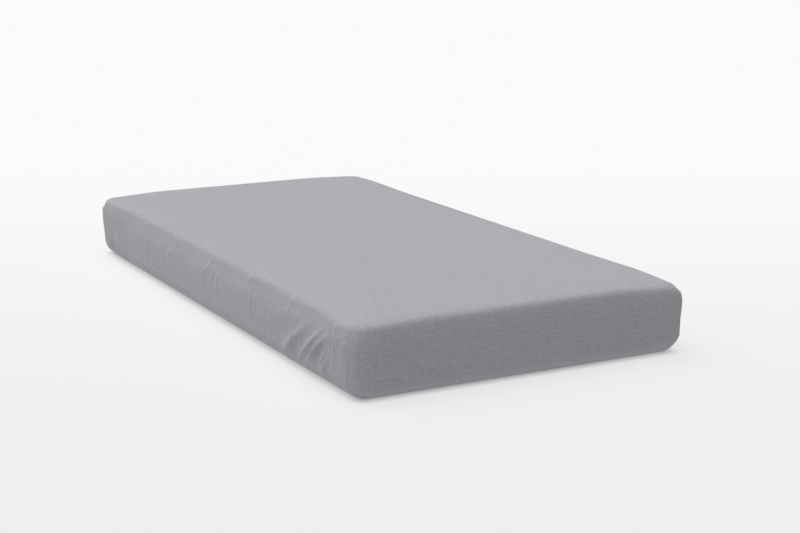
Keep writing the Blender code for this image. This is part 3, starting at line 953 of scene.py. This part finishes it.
def cap(block, upper, end, cells):
    """The block's upper or lower half: from its face, round the edge, to this height."""
    edge = block.top_edge if upper else block.low_edge
    face, way = (block.top, -1) if upper else (block.bottom, 1)
    level = block.corner - edge
    fall = abs(face - end)
    last_angle = math.acos(max(1 - fall / edge, 0))
    straight = max(fall - edge, 0)
    down = [np.linspace(0, level, 3)[1:], level + edge * np.linspace(0, last_angle, ARC_STEPS + 1)[1:]]
    if straight:
        down.append(level + edge * math.pi / 2 + np.linspace(0, straight, STRAIGHT_STEPS + 1)[1:])

    def path(depth):
        angle = np.clip((depth - level) / edge, 0, math.pi / 2)
        inset = block.corner - np.minimum(depth, level) - edge * np.sin(angle)
        run = np.maximum(depth - level - edge * math.pi / 2, 0)
        height = face + way * (edge * (1 - np.cos(angle)) + run)
        return inset, height, np.sin(angle), -way * np.cos(angle), block.corner - inset

    return Wrap(block.half, block.corner, path, np.concatenate(down), cells)


def unevenness(points, depth, length):
    """Slight waves that only ever go in, as deep as depth, over this length."""
    x, y, z = (points / length * 2 * math.pi).T
    waves = np.sin(x + 0.7 * np.sin(y)) * np.sin(0.8 * y + 1.3 * np.sin(0.9 * x + 2 * z))
    return -depth * (0.5 + 0.5 * waves)


def join_halves(piece, closed):
    """Sews the upper and lower rims of a block together wherever closed, given points, says so."""
    shape = bmesh.new()
    shape.from_mesh(piece.data)
    rim = [vert for vert in shape.verts if vert.is_boundary]
    places = np.array([vert.co for vert in rim])
    sewn = [vert for vert, join in zip(rim, closed(places)) if join]
    bmesh.ops.remove_doubles(shape, verts=sewn, dist=RIM_GAP * 1.2)
    shape.to_mesh(piece.data)
    shape.free()


def make_block(name, block, slot, node, waves, closed, thickness=0.0):
    """A closed piece from a block's two halves, sewn or moulded together at half height."""
    middle = (block.bottom + block.top) / 2
    middle = min(max(middle, block.bottom + block.low_edge), block.top - block.top_edge)
    points, quads, count = [], [], 0
    for upper in (True, False):
        end = middle + RIM_GAP / 2 * (1 if upper else -1)
        half = cap(block, upper, end, LAYER_CELLS)
        relief = unevenness(half.points, *waves)
        points.append(half.points + half.out * relief[:, None])
        quads.append(half.quads()[:, :: 1 if upper else -1] + count)
        count += len(half.points)
    points = settle(np.concatenate(points))
    piece = add_piece(name, points, np.concatenate(quads), slot, [node], thickness)
    join_halves(piece, closed)
    return piece


def everywhere(points):
    return np.ones(len(points), bool)


def beside_mouth(points):
    """The sleeve's slit at the -Y end is left open."""
    return (points[:, 1] > 0) | (np.abs(points[:, 0]) > MOUTH_LENGTH / 2)


def make_core():
    """The three foams and the knitted sleeve round them."""
    node = "fire_barrier_sleeve"
    sleeve = make_block(
        "fire_barrier_sock", block_of(node, node, node), "barrier_knit", node, SLEEVE_WAVES,
        beside_mouth, thickness=SLEEVE_CLOTH,
    )
    memory_height = size_of("memory_foam")[2]
    for node, fill, top_edge, low_edge in (
        ("memory_foam", 0.85, memory_height - 3 * CUT_RADIUS, CUT_RADIUS),
        ("transition_foam", 0.95, CUT_RADIUS, CUT_RADIUS),
        ("base_foam", 1.0, CUT_RADIUS, None),
    ):
        block = block_of(node, node, node, top_edge, low_edge)
        slab = make_block(f"{node}_slab", block, node, node, FOAM_WAVES, everywhere)


def quilting(points):
    """Puffed diamonds between two sets of crossing lines of stitches."""
    x, y, _ = (points / QUILT_SPACING * math.pi).T
    return QUILT_PUFF * np.sqrt(np.abs(np.sin(x + y) * np.sin(x - y)))


def make_panels(block):
    """The inner cover's quilted top and its underside."""
    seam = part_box("cover_top_panel")[0][2]
    top = cap(block, True, seam, QUILT_CELLS)
    puff = quilting(top.points) * smooth(0.030, 0.0, top.depth)
    panel = add_piece(
        "quilted_top_panel", settle(top.points + top.out * puff[:, None]), top.quads(),
        "white_knit", ["cover_top_panel"], thickness=COVER_CLOTH,
    )
    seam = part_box("cover_bottom_panel")[1][2]
    under = cap(block, False, seam, LAYER_CELLS)
    panel = add_piece(
        "grip_bottom_panel", settle(under.points), under.quads()[:, ::-1],
        "grip_cloth", ["cover_bottom_panel"], thickness=COVER_CLOTH,
    )


def make_grip_dots(block):
    """Low domes of rubber on the underside, inside the hem's opening."""
    counts = ((block.half - GRIP_MARGIN) * 2 // GRIP_SPACING).astype(int)
    columns, rows = np.meshgrid(np.arange(counts[0] + 1), np.arange(counts[1] + 1))
    x = (columns - counts[0] / 2 + 0.5 * (rows % 2) - 0.25) * GRIP_SPACING
    y = (rows - counts[1] / 2) * GRIP_SPACING
    angles = np.arange(GRIP_SIDES) * 2 * math.pi / GRIP_SIDES
    dome = np.array([
        (GRIP_RADIUS * share * math.cos(a), GRIP_RADIUS * share * math.sin(a), -GRIP_HEIGHT * rise)
        for share, rise in GRIP_PROFILE
        for a in angles
    ])
    centres = np.stack([x.ravel(), y.ravel(), np.full(x.size, block.bottom + 0.0001)], axis=1)
    points = (centres[:, None] + dome).reshape(-1, 3)
    last = GRIP_SIDES - 1
    disc = np.array([(i, i + 1, last - 1 - i, last - i) for i in range(GRIP_SIDES // 2 - 1)])
    crown = disc[:, ::-1] + len(dome) - GRIP_SIDES
    quads = np.concatenate([tube_quads(len(GRIP_PROFILE), GRIP_SIDES)[:, ::-1], crown, disc])
    every = (np.arange(len(centres))[:, None, None] * len(dome) + quads).reshape(-1, 4)
    return add_piece("grip_dots", points, every, "grip_cloth", [])


def make_border(block):
    """The inner cover's side, with the window that its zip lies in left open."""
    low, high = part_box("cover_border")[0][2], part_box("cover_border")[1][2]
    middle = (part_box("zip_slider")[0][2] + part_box("zip_slider")[1][2]) / 2
    window = [middle - WINDOW_HALF_HEIGHT, middle + WINDOW_HALF_HEIGHT]
    heights = np.union1d(np.linspace(low, high, BORDER_ROWS), window)
    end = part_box("zip_upper_tape")[1][1]
    rows = [(block.inset_at(height), height) for height in heights]
    points, quads = band(block.half, block.corner, rows, marks=(-end, end))
    centre = points[quads].mean(axis=1)
    in_window = centre[:, 0] > block.half[0] - 0.001
    in_window &= np.abs(centre[:, 1]) < end
    in_window &= np.abs(centre[:, 2] - middle) < WINDOW_HALF_HEIGHT
    border = add_piece(
        "border_cloth", settle(points), quads[~in_window], "grey_border_cloth", ["cover_border"],
        thickness=COVER_CLOTH,
    )


def make_bindings(block):
    """The tapes over the inner cover's raw seams."""
    for name in ("top_seam_binding", "bottom_seam_binding"):
        low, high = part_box(name)
        inner = block.inside(COVER_CLOTH + LAYER_GAP)
        rows = [(inner.inset_at(height), height) for height in np.linspace(low[2], high[2], BINDING_ROWS)]
        points, quads = band(inner.half, inner.corner, rows)
        add_piece(f"{name}_tape", settle(points), quads, "binding_cloth", [name], BINDING_THICKNESS)


def add_strip(name, node, lines, slot, relief):
    """A flat strip of cloth over the outer face of its CAD node. It also gives the face's two sizes.

    relief tells how far the cloth stands out at each point, from its shares along the two sizes.
    """
    low, high = corners_of(node)
    size = high - low
    thin = int(np.argmin(size))
    wide, tall = (axis for axis in range(3) if axis != thin)
    columns, rows = lines
    s, t = (line.ravel() for line in np.meshgrid(np.linspace(0, 1, columns), np.linspace(0, 1, rows)))
    points = np.zeros((s.size, 3))
    points[:, wide] = low[wide] + s * size[wide]
    points[:, tall] = low[tall] + t * size[tall]
    points[:, thin] = high[thin] + relief(s, t)
    quads = grid_quads(rows, columns)
    # Across and up turn the other way round on a face that looks along Y
    way = -1 if thin == 1 else 1
    strip = add_piece(name, points, quads[:, ::way], slot, [node], thickness=size[thin])
    return strip, (size[wide], size[tall])


def make_label(node, bow, lift=0.0):
    """A blank satin label, bowed by its stitches."""

    def relief(s, t):
        return lift + bow * np.sin(s * math.pi) * np.sin(t * math.pi) * (1 + 0.4 * np.sin(7 * s))

    return add_strip(f"{node}_cloth", node, LABEL_LINES, "label_satin", relief)


# ---------------------------------------------------------------------------------------------
# The zip

def make_zip_tape(name):
    """A woven tape that waves very slightly between its stitches."""
    node = f"zip_{name}_tape"
    length = size_of(node)[1]

    def relief(s, t):
        return TAPE_WAVE * np.sin((s - 0.5) * length / TAPE_WAVE_LENGTH) * np.sin(t * math.pi)

    add_strip(f"{node}_cloth", node, TAPE_LINES, "zip_tape", relief)


def make_zip_coil(name):
    """One row of the zip: a nylon wire wound round in the space of the CAD bar."""
    low, high = corners_of(f"zip_{name}_coil")
    centre, reach = (low + high) / 2, (high - low) / 2 - WIRE_RADIUS
    turns = int(2 * reach[1] / COIL_PITCH)
    angle = np.linspace(0, 2 * math.pi * turns, turns * COIL_STEPS + 1)
    radial = np.stack([np.cos(angle), np.zeros_like(angle), np.sin(angle)], axis=1)
    path = centre + radial * reach
    path[:, 1] += np.linspace(-reach[1], reach[1], len(angle))
    around = np.arange(4) * math.pi / 2
    ring = np.cos(around)[:, None] * radial[:, None] + np.sin(around)[:, None] * np.array([0, 1.0, 0])
    points = (path[:, None] + WIRE_RADIUS * ring).reshape(-1, 3)
    rings = np.arange(len(points)).reshape(-1, 4)
    quads = np.concatenate([tube_quads(*rings.shape), [rings[0][::-1], rings[-1]]])
    add_piece(f"zip_{name}_coil_wire", points, quads, "zip_coil", [f"zip_{name}_coil"])


def finish_metal():
    """The slider and the stops keep their CAD shape and get a better metal."""
    for name in ("zip_slider", "zip_top_stop", "zip_bottom_stop"):
        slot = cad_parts[name].material_slots[0]
        slot.link = "OBJECT"
        slot.material = MATERIALS["zip_metal"]


# ---------------------------------------------------------------------------------------------
# Putting the pieces together

cover = make_cover()
seams = [
    make_corner_seam(name, side_x, side_y)
    for name, side_x, side_y in (
        ("front_left", -1, -1),
        ("front_right", 1, -1),
        ("back_left", -1, 1),
        ("back_right", 1, 1),
    )
]
elastic = make_elastic()
care_label, care_size = make_label("care_label", 0.0003, lift=0.0004)
cover_label, cover_size = make_label("cover_label", 0.0005)
inner_cover = block_of("cover_border", "cover_bottom_panel", "cover_top_panel")
make_panels(inner_cover)
make_grip_dots(inner_cover)
make_border(inner_cover)
make_bindings(inner_cover)
make_core()
for row in ("upper", "lower"):
    make_zip_tape(row)
    make_zip_coil(row)
finish_metal()


# ---------------------------------------------------------------------------------------------
# Floor, light and camera

CAMERA_PLACE = (-2.0616, -4.1339, 1.1539)
CAMERA_YAW = 0.4906
CAMERA_PITCH = 0.2267
CAMERA_LENS = 72.13
FLOOR_SIZE = 120
# The floor's own colour is dark and its material glows, painted light: the glow rises from FLOOR_GLOW_NEAR
# to FLOOR_GLOW_FAR farther along the view, between GLOW_START and GLOW_END.
FLOOR_COLOUR = 0.17
FLOOR_GLOW_NEAR = 0.65
FLOOR_GLOW_FAR = 0.75
# Painted contact shadow: the floor's glow dims towards the mattress's foot, up to SHADE_END past it.
SHADE_START = -0.030
SHADE_END = 0.053
GLOW_START = -2.0
GLOW_END = 2.4


def make_floor():
    """A pale sweep that glows in its own material, painted light, so that shadows on it stay faint. The
    glow is brighter in the distance and dims near the mattress's foot, a painted contact shadow.
    """
    bpy.ops.mesh.primitive_plane_add(size=FLOOR_SIZE)
    floor = bpy.context.object
    floor.name = "studio_floor"
    finish = Finish("studio_floor", 1.0)
    across, along, _ = finish.object_place()
    # Painted light: the floor's glow grows brighter farther along the view.
    away = finish.total((math.sin(CAMERA_YAW), across), (math.cos(CAMERA_YAW), along))
    rise = finish.above(away, GLOW_START, GLOW_END)
    glow = finish.total((FLOOR_GLOW_FAR - FLOOR_GLOW_NEAR, rise), (1.0, FLOOR_GLOW_NEAR))
    # Painted contact shadow: the glow is dimmed by the distance from the outline of the mattress's foot.
    beside = []
    for place, half in ((across, HALF_X), (along, HALF_Y)):
        past_foot = finish.math("SUBTRACT", finish.math("ABSOLUTE", place), half - BOTTOM_RADIUS)
        beside.append(finish.math("MAXIMUM", past_foot, 0.0))
    from_foot = finish.math("SQRT", finish.total(*zip(beside, beside)))
    glow = finish.math("MULTIPLY", glow, finish.above(from_foot, SHADE_START, SHADE_END))
    # The glow is emission in the floor's material, painted light that also lights the mattress's sides from
    # below.
    finish.shade(
        Base_Color=(FLOOR_COLOUR, FLOOR_COLOUR, FLOOR_COLOUR, 1),
        Specular_IOR_Level=0.0,
        Emission_Color=(1, 1, 1, 1),
        Emission_Strength=glow,
    )
    floor.data.materials.append(finish.material)


def make_softbox(name, toward, angle, strength):
    """A broad light so far off that it is even: the direction to it, and its width in degrees."""
    light = bpy.data.lights.new(name, "SUN")
    light.energy = strength
    light.angle = math.radians(angle)
    add_object(name, light).rotation_euler = Vector(toward).to_track_quat("Z", "Y").to_euler()


def make_backdrop():
    """A white world behind the floor's edge. It lights nothing matt: the softboxes and the floor's painted
    glow do that.
    """
    world = bpy.data.worlds.new("studio")
    world.use_nodes = True
    back = world.node_tree.nodes["Background"]
    back.inputs["Color"].default_value = (0.96, 0.96, 0.96, 1)
    back.inputs["Strength"].default_value = 1.0
    world.cycles_visibility.diffuse = False
    bpy.context.scene.world = world


def make_camera():
    """The view of the photograph: a little above one corner, from some way off."""
    camera = bpy.data.cameras.new("camera")
    camera.lens = CAMERA_LENS
    camera.sensor_width = 36
    holder = add_object("camera", camera)
    holder.location = CAMERA_PLACE
    holder.rotation_euler = Euler((math.pi / 2 - CAMERA_PITCH, 0, -CAMERA_YAW))
    bpy.context.scene.camera = holder


make_floor()
make_softbox("overhead_softbox", (0, 0, 1), 60, 2.00)
make_softbox("left_softbox", (-1, 0.1, 1), 70, 0.90)
make_softbox("back_softbox", (-0.25, 0.9, 1), 60, 1.38)
make_softbox("front_softbox", (0.1, -1, 0.35), 90, 0.50)
make_backdrop()
make_camera()
bpy.context.scene.view_settings.view_transform = "Standard"
